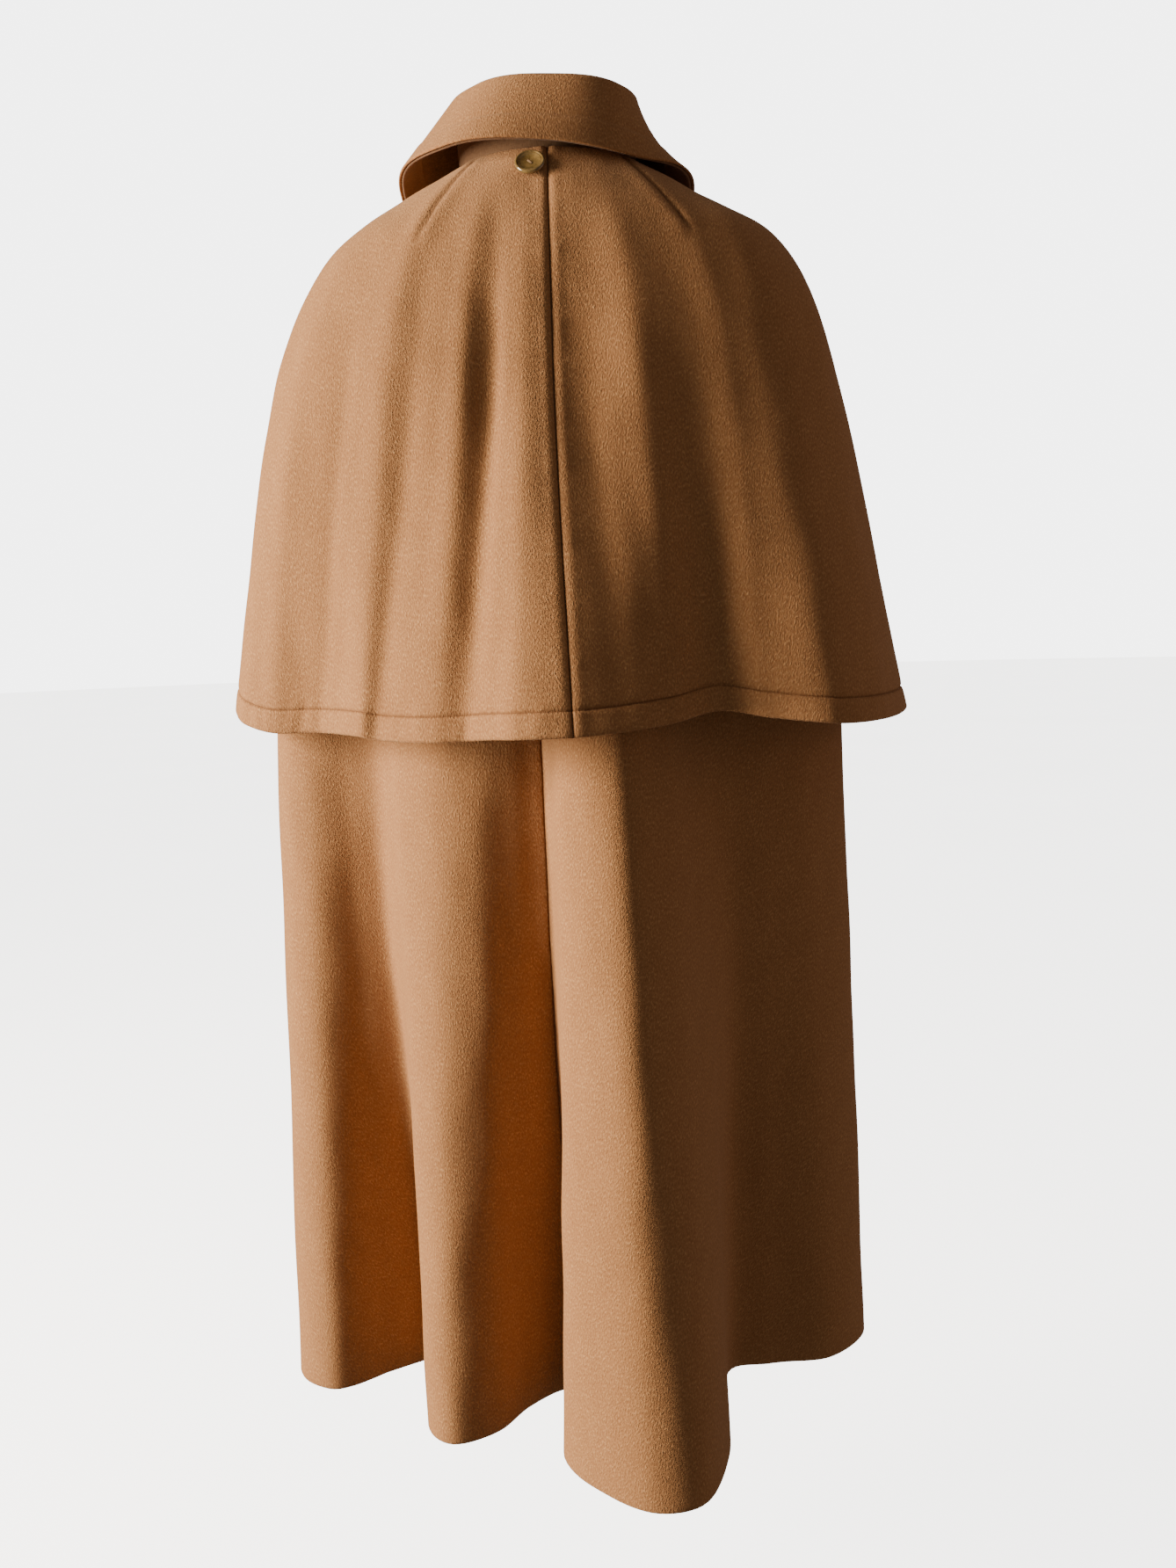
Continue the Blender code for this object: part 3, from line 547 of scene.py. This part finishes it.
def cloth_panel(layer, panel, step, folds, finish, stitched, seed):
    """One panel of a layer as a thin wall with rounded edges, a hem band and its creases."""
    first, last = layer.line_place(panel.first), layer.line_place(panel.last)
    free_first, free_last = panel.first == "left_edge", panel.last == "right_edge"
    band = layer.hem_band
    arounds = stops(first + SEAM_JOIN, last - SEAM_JOIN, step)
    downs = stops(0.0, layer.length, step, [layer.length - band])
    outward = np.concatenate([[arounds[0] - 1.0], arounds, [arounds[-1] + 1.0]])
    points = layer.grid(outward, downs)
    normals = grid_normals(points)[:, 1:-1]
    points = points[:, 1:-1]
    around, down = np.meshgrid(arounds, downs)
    run = run_lengths(points, 1)
    from_first, from_last = run, run[:, -1:] - run
    fallen = run_lengths(points, 0)
    above_hem = fallen[-1:] - fallen
    grain_last = panel.last == "centre_back"
    across = -from_last if grain_last else from_first
    relief = fold_relief(folds, layer, around, down)
    relief += 0.8 * drape_noise(points, 120.0, seed) + 0.3 * drape_noise(points, 45.0, seed + 1)
    sewn = np.zeros_like(around)
    if not free_first:
        relief += seam_relief(from_first, fallen, 1.0)
        sewn = np.maximum(sewn, bump(from_first, 0.8))
    if not free_last:
        relief += seam_relief(from_last, fallen, 1.0)
        sewn = np.maximum(sewn, bump(from_last, 0.8))
    darts, dart_sewn = dart_relief(panel, across, fallen)
    relief += darts
    sewn = np.maximum(sewn, dart_sewn)
    if stitched:
        line = above_hem - band
        relief += 0.35 * smooth_step(1.5, -2.5, line) - 1.1 * bump(line, 1.0) - 0.5 * bump(line, 3.5)
        relief += hem_puckers(layer, around, above_hem)
        sewn = np.maximum(sewn, bump(line, 0.8))
    thick = WALL * (1.0 + smooth_step(2.0, -1.0, above_hem - band))
    left = edge_round(above_hem, WALL) * edge_round(fallen, WALL / 2.0)
    left *= edge_round(from_first, WALL / 2.0) * edge_round(from_last, WALL / 2.0)
    left = np.maximum(left, THINNEST_EDGE)[..., None]
    half = (thick / 2.0)[..., None]
    middle = points + normals * relief[..., None] - normals * half
    outer = middle + normals * half * left
    inner = middle - normals * half * left
    uv = np.stack([across, -fallen], axis=-1) * METRES
    mesh = cloth_wall(panel.name, outer, inner, uv, {"sewn": sewn})
    piece = add_piece(panel.name + "_cloth", mesh, finish, panel.name)
    return piece


def collar_station(angle):
    """Fold, leaf edge and belly at an angle, from a smooth closed curve through the stations."""
    count = len(COLLAR_STATIONS)
    spacing = 360.0 / count
    position = (angle % 360.0) / spacing
    index = int(position)
    t = position - index
    t2, t3 = t * t, t * t * t
    rows = [COLLAR_STATIONS[(index + k) % count] for k in (-1, 0, 1, 2)]
    columns = []
    for column in range(2, len(CollarStation._fields)):
        before, start, end, after = [row[column] for row in rows]
        slope_start, slope_end = (end - before) / 2.0, (after - start) / 2.0
        columns.append(
            (2 * t3 - 3 * t2 + 1) * start + (t3 - 2 * t2 + t) * slope_start
            + (3 * t2 - 2 * t3) * end + (t3 - t2) * slope_end
        )
    return columns


def front_tuck(angle):
    """How much further in the stand lies near the front, inside the lapped edges of the cape."""
    from_front = min(angle % 360.0, -angle % 360.0)
    share = min(max(2.0 - 2.0 * from_front / COLLAR_TUCK_ANGLE, 0.0), 1.0)
    return COLLAR_FRONT_TUCK * share * share * (3.0 - 2.0 * share)


STAND_ROWS = 16
TURN_ROWS = 10
LEAF_STEP = 1.9
COLLAR_STEP = 3.0


def collar_profile(angle, depth, leaf_shares):
    """Points of the collar in a plane through the neck's axis, up the stand and down the leaf."""
    fold_reach, fold_z, edge_reach, edge_z, belly = collar_station(angle)
    neck = ring_point(SHOULDER_RINGS[0], angle)
    wall = 2.0 * COLLAR_LAYER + COLLAR_LAYER_GAP
    under_cape = CAPE_UNDER_OVERCAPE[0] + WALL + front_tuck(angle)
    cape_edge = neck - shoulder_normal(0, angle) * under_cape
    neck_reach = math.hypot(cape_edge.x, cape_edge.y) - COLLAR_NECK_CLEARANCE - wall
    radius = FOLD_RADIUS - depth
    centre = Vector((fold_reach - FOLD_RADIUS, fold_z - FOLD_RADIUS))
    leaf = Vector((edge_reach, edge_z)) - centre
    lean = math.atan2(leaf.y, leaf.x) + math.acos(FOLD_RADIUS / leaf.length)
    stand_top = centre + Vector((-radius, 0.0))
    stand_foot = Vector((neck_reach + depth, neck.z - STAND_OVERLAP))
    points = [stand_foot.lerp(stand_top, k / STAND_ROWS) for k in range(STAND_ROWS)]
    for k in range(TURN_ROWS):
        heading = math.pi + (lean - math.pi) * k / TURN_ROWS
        points.append(centre + Vector((math.cos(heading), math.sin(heading))) * radius)
    out = Vector((math.cos(lean), math.sin(lean)))
    leaf_top = centre + out * radius
    edge = Vector((edge_reach, edge_z)) - out * depth
    for share in leaf_shares:
        points.append(leaf_top.lerp(edge, share) + out * belly * 4.0 * share * (1.0 - share))
    return points


def collar_grid(depth, columns, leaf_shares):
    """The collar's rows at one depth, spread a little less round the neck towards the leaf's edge."""
    turning = STAND_ROWS + TURN_ROWS
    rows = turning + len(leaf_shares)
    grid = np.empty((rows, columns + 1, 3))
    sampled = {}
    for row in range(rows):
        leaf_share = leaf_shares[row - turning] if row >= turning else 0.0
        start = COLLAR_END_ANGLE + LEAF_SPREAD_ANGLE * leaf_share
        for column in range(columns + 1):
            angle = start + (360.0 - 2.0 * start) * column / columns
            key = round(angle, 3)
            if key not in sampled:
                sampled[key] = collar_profile(angle, depth, leaf_shares)
            reach, height = sampled[key][row]
            turn = math.radians(angle)
            grid[row, column] = (reach * math.sin(turn), -reach * math.cos(turn), height)
    return grid


def collar_layer(part, finish, seed):
    """One layer of the collar as a thin wall, with the leaf's edge turned and its band stitched."""
    columns = 230
    leaf_parts = 34
    shares = [k / leaf_parts for k in range(leaf_parts)]
    shares += [1.0 - part.set_back - d for d in (0.02, 0.008, 0.0)]
    shares = sorted(share for share in set(shares) if share <= 1.0 - part.set_back)
    face = collar_grid(part.depth, columns, shares)
    back = collar_grid(part.depth + COLLAR_LAYER, columns, shares)
    normals = grid_normals(face)
    if np.sum(normals * (face - back)) < 0.0:
        normals = -normals
    fallen = run_lengths(face, 0)
    run = run_lengths(face, 1)
    to_edge = fallen[-1:] - fallen
    from_first, from_last = run, run[:, -1:] - run
    relief = 0.25 * drape_noise(face, 60.0, seed)
    line = to_edge - COLLAR_STITCH_INSET
    relief += 0.7 * smooth_step(1.6, -1.2, line) - 0.5 * bump(line - 1.5, 1.6)
    left = edge_round(to_edge, COLLAR_LAYER / 2.0) * edge_round(fallen, COLLAR_LAYER / 2.0)
    left *= edge_round(from_first, COLLAR_LAYER / 2.0) * edge_round(from_last, COLLAR_LAYER / 2.0)
    left = np.maximum(left, THINNEST_EDGE)[..., None]
    shift = normals * relief[..., None]
    middle = (face + back) / 2.0 + shift
    outer = middle + (face - back) / 2.0 * left
    inner = middle - (face - back) / 2.0 * left
    uv = np.stack([run - run[:, -1:] / 2.0, -fallen], axis=-1) * METRES
    mesh = cloth_wall(part.name, outer, inner, uv, {"sewn": 0.0 * line})
    piece = add_piece(part.name + "_cloth", mesh, finish, part.name)
    return piece


def place_near(layer, x, z, first, last):
    """The place on a layer, between two lines, that has the given x and height."""
    around = (layer.line_place(first) + layer.line_place(last)) / 2.0
    down = layer.length / 10.0
    for _ in range(40):
        points = layer.grid([around, around + 1.0], [down, down + 1.0])
        here = points[0, 0]
        by_around, by_down = points[0, 1] - here, points[1, 0] - here
        error_x, error_z = x - here[0], z - here[2]
        share = 0.7 / (by_around[0] * by_down[2] - by_down[0] * by_around[2])
        around += share * (error_x * by_down[2] - by_down[0] * error_z)
        down += share * (by_around[0] * error_z - error_x * by_around[2])
        around = min(max(around, layer.places[0]), layer.places[-1])
        down = min(max(down, 0.0), layer.length)
    return around, down


def button_mesh(name):
    """A turned horn button: rounded back, raised rim with a fine groove inside it, dished face."""
    radius, top = BUTTON_DIAMETER / 2.0, BUTTON_THICKNESS
    profile = [
        (0.0, 0.0), (radius - 3.2, 0.0), (radius - 2.0, 0.15), (radius - 0.9, 0.7), (radius - 0.2, 1.5),
        (radius, 2.3), (radius - 0.15, 3.1), (radius - 0.55, 3.8), (radius - 1.1, top - 0.05),
        (radius - 1.5, top), (radius - 1.95, top - 0.1), (radius - 2.35, top - 0.42), (radius - 2.6, top - 0.62),
        (radius - 2.9, top - 0.55), (radius - 3.3, top - 0.62), (radius - 4.0, top - 0.95),
        (radius - 5.4, top - 1.3), (radius - 7.4, top - 1.55), (0.0, top - 1.7),
    ]
    builder = bmesh.new()
    points = [builder.verts.new((x * METRES, 0.0, z * METRES)) for x, z in profile]
    edges = [builder.edges.new(pair) for pair in zip(points, points[1:])]
    bmesh.ops.spin(
        builder, geom=points + edges, axis=(0, 0, 1), cent=(0, 0, 0),
        steps=72, angle=math.tau, use_merge=True,
    )
    bmesh.ops.remove_doubles(builder, verts=builder.verts[:], dist=0.00001)
    bmesh.ops.recalc_face_normals(builder, faces=builder.faces[:])
    mesh = bpy.data.meshes.new(name)
    builder.to_mesh(mesh)
    builder.free()
    return mesh


def button(name, place, normal, turn_angle, finish, thread_finish):
    """A two-hole button on the cloth, drilled, with its thread through the holes."""
    piece = bpy.data.objects.new(name + "_horn", button_mesh(name))
    bpy.context.scene.collection.objects.link(piece)
    drills = []
    for side in (-0.5, 0.5):
        builder = bmesh.new()
        bmesh.ops.create_cone(
            builder, cap_ends=True, segments=24, radius1=BUTTON_HOLE / 2.0 * METRES,
            radius2=BUTTON_HOLE / 2.0 * METRES, depth=4.0 * BUTTON_THICKNESS * METRES,
        )
        bmesh.ops.translate(builder, vec=(side * BUTTON_HOLE_PITCH * METRES, 0, 0), verts=builder.verts[:])
        drill_mesh = bpy.data.meshes.new("drill")
        builder.to_mesh(drill_mesh)
        builder.free()
        drill = bpy.data.objects.new("drill", drill_mesh)
        bpy.context.scene.collection.objects.link(drill)
        cut = piece.modifiers.new("hole", "BOOLEAN")
        cut.operation = "DIFFERENCE"
        cut.object = drill
        drills.append(drill)
    ready = piece.evaluated_get(bpy.context.evaluated_depsgraph_get())
    mesh = bpy.data.meshes.new_from_object(ready)
    piece.modifiers.clear()
    piece.data = mesh
    for drill in drills:
        bpy.data.objects.remove(drill, do_unlink=True)
    upright = normal.to_track_quat("Z", "Y").to_matrix().to_4x4()
    turn = Matrix.Rotation(math.radians(turn_angle), 4, "Z")
    seat = Matrix.Translation((place + normal * BUTTON_SEAT) * METRES) @ upright @ turn
    mesh.transform(seat)
    mesh.materials.clear()
    mesh.materials.append(finish)
    mesh.shade_smooth()
    mesh.set_sharp_from_angle(angle=math.radians(40))
    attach(piece, "root")
    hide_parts(name)
    strands = bmesh.new()
    for lane in (-0.45, 0.0, 0.45):
        before = set(strands.verts)
        bmesh.ops.create_uvsphere(strands, u_segments=10, v_segments=8, radius=1.0)
        fresh = [vertex for vertex in strands.verts if vertex not in before]
        size = Matrix.Diagonal((BUTTON_HOLE_PITCH / 2.0 + 0.7, 0.34, 0.6, 1.0))
        put = Matrix.Translation((0.0, lane, BUTTON_THICKNESS - 1.72))
        bmesh.ops.transform(strands, matrix=put @ size, verts=fresh)
    bmesh.ops.scale(strands, vec=(METRES,) * 3, verts=strands.verts[:])
    bmesh.ops.transform(strands, matrix=seat, verts=strands.verts[:])
    thread_mesh = bpy.data.meshes.new(name + "_thread")
    strands.to_mesh(thread_mesh)
    strands.free()
    thread = add_piece(name + "_thread", thread_mesh, thread_finish)
    return piece, thread


class Value:
    """A value in a material. Sums and products of values add their Math nodes."""

    def __init__(self, bench, socket):
        self.bench, self.socket = bench, socket

    def _with(self, operation, first, second):
        return self.bench.math(operation, first, second)

    def __add__(self, other):
        return self._with("ADD", self, other)

    def __radd__(self, other):
        return self._with("ADD", other, self)

    def __sub__(self, other):
        return self._with("SUBTRACT", self, other)

    def __rsub__(self, other):
        return self._with("SUBTRACT", other, self)

    def __mul__(self, other):
        return self._with("MULTIPLY", self, other)

    def __rmul__(self, other):
        return self._with("MULTIPLY", other, self)

    def __truediv__(self, other):
        return self._with("DIVIDE", self, other)

    def __pow__(self, other):
        return self._with("POWER", self, other)


class Bench:
    """Where one material's nodes are put together."""

    def __init__(self, name, **constants):
        self.material = bpy.data.materials.new(name)
        self.material.use_nodes = True
        self.tree = self.material.node_tree
        self.shader = self.tree.nodes["Principled BSDF"]
        for socket, value in constants.items():
            self.shader.inputs[socket.replace("_", " ")].default_value = value

    def node(self, kind, settings=None, sockets=None, output=0):
        """A node with its settings, then the values or links of its sockets. Gives one output."""
        node = self.tree.nodes.new("ShaderNode" + kind)
        for setting, value in (settings or {}).items():
            if setting == "stops":
                self.set_stops(node.color_ramp, value)
            else:
                setattr(node, setting, value)
        for socket, value in (sockets or {}).items():
            self.feed(node.inputs[socket], value)
        return Value(self, node.outputs[output])

    def set_stops(self, ramp, stops_wanted):
        while len(ramp.elements) < len(stops_wanted):
            ramp.elements.new(0.5)
        for element, (position, colour) in zip(ramp.elements, stops_wanted):
            element.position = position
            element.color = (*colour, 1.0)

    def feed(self, socket, value):
        if isinstance(value, Value):
            self.tree.links.new(value.socket, socket)
        else:
            socket.default_value = value

    def math(self, operation, first, second):
        return self.node("Math", {"operation": operation}, {0: first, 1: second})

    def clamp(self, value):
        return self.node("Clamp", None, {"Value": value})

    def mix(self, factor, first, second):
        """A colour between two others."""
        node = self.tree.nodes.new("ShaderNodeMix")
        node.data_type = "RGBA"
        for socket, value in ((0, factor), (6, first), (7, second)):
            self.feed(node.inputs[socket], value)
        return Value(self, node.outputs[2])

    def coordinates(self, uv_name=None):
        if uv_name:
            return self.node("UVMap", {"uv_map": uv_name})
        return self.node("TexCoord", output="Object")

    def scaled(self, vector, scale):
        return self.node("VectorMath", {"operation": "MULTIPLY"}, {0: vector, 1: scale})

    def noise(self, vector, grain_width, grain_length=None, detail=2.0, roughness=0.5):
        """Noise whose grains have that size in millimetres on the cloth."""
        across, down = 1000.0 / grain_width, 1000.0 / (grain_length or grain_width)
        return self.node(
            "TexNoise", {"noise_dimensions": "3D"},
            {"Vector": self.scaled(vector, (across, down, across)), "Scale": 1.0,
             "Detail": detail, "Roughness": roughness},
        )

    def attribute(self, name):
        return self.node("Attribute", {"attribute_name": name}, output="Fac")

    def finish(self, **links):
        for socket, value in links.items():
            self.feed(self.shader.inputs[socket.replace("_", " ")], value)
        return self.material


def rgb(red, green, blue):
    return (red, green, blue, 1.0)


def felted_wool(name, light, middle, dark):
    """Heavy felted wool with a short raised nap that lies down the cloth."""
    bench = Bench(name, Sheen_Weight=0.3, Sheen_Roughness=0.45, Sheen_Tint=rgb(1.0, 0.68, 0.42),
                  Specular_IOR_Level=0.1)
    place = bench.coordinates("cloth")
    tufts = bench.noise(place, 1.5, 2.6, 1.0, 0.5)
    hairs = bench.noise(place, 0.6, 2.4, 1.0, 0.5)
    clouds = bench.noise(place, 14.0, 26.0, 2.0, 0.5)
    wide = bench.noise(place, 160.0, 220.0, 1.0, 0.5)
    nap = bench.clamp((tufts - 0.5) * 1.3 + (hairs - 0.5) * 1.0 + (clouds - 0.5) * 0.25 + 0.5)
    tone = bench.mix(nap, rgb(*dark), rgb(*middle))
    tone = bench.mix(bench.clamp((nap - 0.6) * 2.0), tone, rgb(*light))
    patchy = bench.clamp((wide - 0.5) * 0.9 + 0.5)
    tone = bench.mix(patchy * 0.16, tone, rgb(dark[0] * 0.95, dark[1] * 0.9, dark[2] * 0.8))
    sewn = bench.attribute("sewn")
    tone = bench.mix(bench.clamp(sewn * 0.75), tone, rgb(dark[0] * 0.4, dark[1] * 0.35, dark[2] * 0.3))
    height = (tufts * 0.9 + hairs * 0.6 + clouds * 0.4)
    relief = bench.node("Bump", None, {"Strength": 0.7, "Distance": 0.0009, "Height": height})
    rough = 0.94 - nap * 0.08
    return bench.finish(Base_Color=tone, Roughness=rough, Normal=relief)


def facing_cloth(name):
    """The collar's smoother facing, a fine twill without nap."""
    bench = Bench(name, Sheen_Weight=0.15, Sheen_Roughness=0.5, Specular_IOR_Level=0.15)
    place = bench.coordinates("cloth")
    twill = bench.noise(place, 0.6, 6.0, 1.0, 0.5)
    cross = bench.noise(place, 5.0, 0.7, 1.0, 0.5)
    clouds = bench.noise(place, 18.0, 30.0, 2.0, 0.5)
    weave = bench.clamp((twill - 0.5) * 1.2 + (cross - 0.5) * 0.8 + (clouds - 0.5) * 0.5 + 0.5)
    tone = bench.mix(weave, rgb(0.17, 0.085, 0.04), rgb(0.30, 0.165, 0.08))
    relief = bench.node("Bump", None, {"Strength": 0.4, "Distance": 0.0005, "Height": weave})
    return bench.finish(Base_Color=tone, Roughness=0.85 - weave * 0.05, Normal=relief)


def olive_horn(name):
    """Polished horn, olive brown with paler clouds and fine growth lines."""
    bench = Bench(name, Coat_Weight=0.6, Coat_Roughness=0.06, IOR=1.54)
    place = bench.coordinates()
    clouds = bench.noise(place, 7.0, 9.0, 3.0, 0.6)
    lines = bench.noise(place, 0.9, 14.0, 2.0, 0.5)
    figure = bench.clamp((clouds - 0.5) * 2.2 + (lines - 0.5) * 0.9 + 0.5)
    tone = bench.mix(figure, rgb(0.085, 0.05, 0.014), rgb(0.27, 0.17, 0.055))
    relief = bench.node("Bump", None, {"Strength": 0.15, "Distance": 0.0002, "Height": lines})
    return bench.finish(Base_Color=tone, Roughness=0.16 + figure * 0.08, Normal=relief)


def waxed_thread(name):
    bench = Bench(name, Specular_IOR_Level=0.3)
    ply = bench.noise(bench.coordinates(), 0.4, 0.4, 1.0, 0.5)
    tone = bench.mix(ply, rgb(0.12, 0.06, 0.025), rgb(0.36, 0.22, 0.10))
    relief = bench.node("Bump", None, {"Strength": 0.3, "Distance": 0.0002, "Height": ply})
    return bench.finish(Base_Color=tone, Roughness=0.6 + ply * 0.1, Normal=relief)


def pale_floor(name):
    bench = Bench(name, Specular_IOR_Level=0.1, Emission_Strength=BACKDROP_GLOW * 0.92)
    clouds = bench.noise(bench.coordinates(), 900.0, 900.0, 2.0, 0.5)
    tone = bench.mix(clouds, rgb(0.84, 0.83, 0.81), rgb(0.88, 0.87, 0.86))
    return bench.finish(Base_Color=tone, Emission_Color=tone, Roughness=0.9)


def camera():
    lens = bpy.data.cameras.new("camera")
    lens.sensor_fit = "VERTICAL"
    lens.sensor_height = CAMERA_SENSOR
    lens.lens = CAMERA_LENS
    holder = bpy.data.objects.new("camera", lens)
    bpy.context.scene.collection.objects.link(holder)
    pitch, roll = math.radians(CAMERA_PITCH), math.radians(CAMERA_ROLL)
    ahead = Vector((0.0, -math.cos(pitch), -math.sin(pitch)))
    level = Vector((-1.0, 0.0, 0.0))
    up = level.cross(ahead)
    right = math.cos(roll) * level - math.sin(roll) * up
    above = math.sin(roll) * level + math.cos(roll) * up
    turn = Matrix((right, above, -ahead)).transposed()
    holder.matrix_world = Matrix.Translation(CAMERA_PLACE) @ turn.to_4x4()
    bpy.context.scene.camera = holder


def soft_light(name, place, target, width, height, power, colour):
    lamp = bpy.data.lights.new(name, "AREA")
    lamp.shape = "RECTANGLE"
    lamp.size, lamp.size_y = width, height
    lamp.energy = power
    lamp.color = colour
    holder = bpy.data.objects.new(name, lamp)
    bpy.context.scene.collection.objects.link(holder)
    holder.location = place
    holder.rotation_euler = (Vector(target) - Vector(place)).to_track_quat("-Z", "Y").to_euler()


def studio():
    soft_light("key", (2.9, 0.78, 0.0), (0, 0, -0.5), 0.8, 2.0, 330, (1.0, 0.9, 0.78))
    soft_light("fill", (-2.6, 0.2, -0.2), (0, 0, -0.6), 1.8, 1.8, 8, (1.0, 0.62, 0.5))
    world = bpy.data.worlds.new("studio")
    bpy.context.scene.world = world
    world.use_nodes = True
    nodes, links = world.node_tree.nodes, world.node_tree.links
    seen = nodes["Background"]
    seen.inputs["Color"].default_value = rgb(1.0, 1.0, 1.0)
    seen.inputs["Strength"].default_value = BACKDROP_GLOW
    lit = nodes.new("ShaderNodeBackground")
    lit.inputs["Color"].default_value = rgb(1.0, 0.93, 0.86)
    lit.inputs["Strength"].default_value = 0.16
    path = nodes.new("ShaderNodeLightPath")
    choose = nodes.new("ShaderNodeMixShader")
    links.new(path.outputs["Is Camera Ray"], choose.inputs[0])
    links.new(lit.outputs[0], choose.inputs[1])
    links.new(seen.outputs[0], choose.inputs[2])
    links.new(choose.outputs[0], nodes["World Output"].inputs["Surface"])
    builder = bmesh.new()
    bmesh.ops.create_circle(builder, cap_ends=True, segments=96, radius=30.0)
    bmesh.ops.translate(builder, vec=(0.0, 0.0, -1.47), verts=builder.verts[:])
    mesh = bpy.data.meshes.new("floor")
    builder.to_mesh(mesh)
    builder.free()
    mesh.materials.append(pale_floor("pale_floor"))
    floor = bpy.data.objects.new("floor", mesh)
    bpy.context.scene.collection.objects.link(floor)
    floor.visible_diffuse = False
    floor.visible_glossy = False


def cape():
    wool = felted_wool("camel_wool_nap", (0.60, 0.33, 0.145), (0.45, 0.225, 0.092), (0.27, 0.115, 0.045))
    facing = facing_cloth("collar_facing")
    horn = olive_horn("olive_horn")
    thread = waxed_thread("button_thread")
    overcape = overcape_layer()
    cloth = cape_layer()
    for panel in OVERCAPE_PANELS:
        cloth_panel(overcape, panel, OVERCAPE_STEP, OVERCAPE_FOLDS, wool, True, 20)
    for panel in CAPE_PANELS:
        cloth_panel(cloth, panel, CAPE_STEP, CAPE_FOLDS, wool, False, 40)
    collar_layer(UPPER_COLLAR, wool, 60)
    collar_layer(UNDER_COLLAR, facing, 61)
    places = [
        ("back_neck_button", overcape, 14.0, -27.0, "third_crest", "centre_back", 135.0),
        ("front_neck_button", overcape, 0.0, -150.0, "right_front", "right_edge", 0.0),
        ("cape_front_button", cloth, 0.0, -330.0, "right_lap", "right_edge", 0.0),
    ]
    for name, layer, x, z, first, last, turn in places:
        point, normal = layer.frame_at(*place_near(layer, x, z, first, last))
        button(name, point, normal, turn, horn, thread)


camera()
cape()
studio()
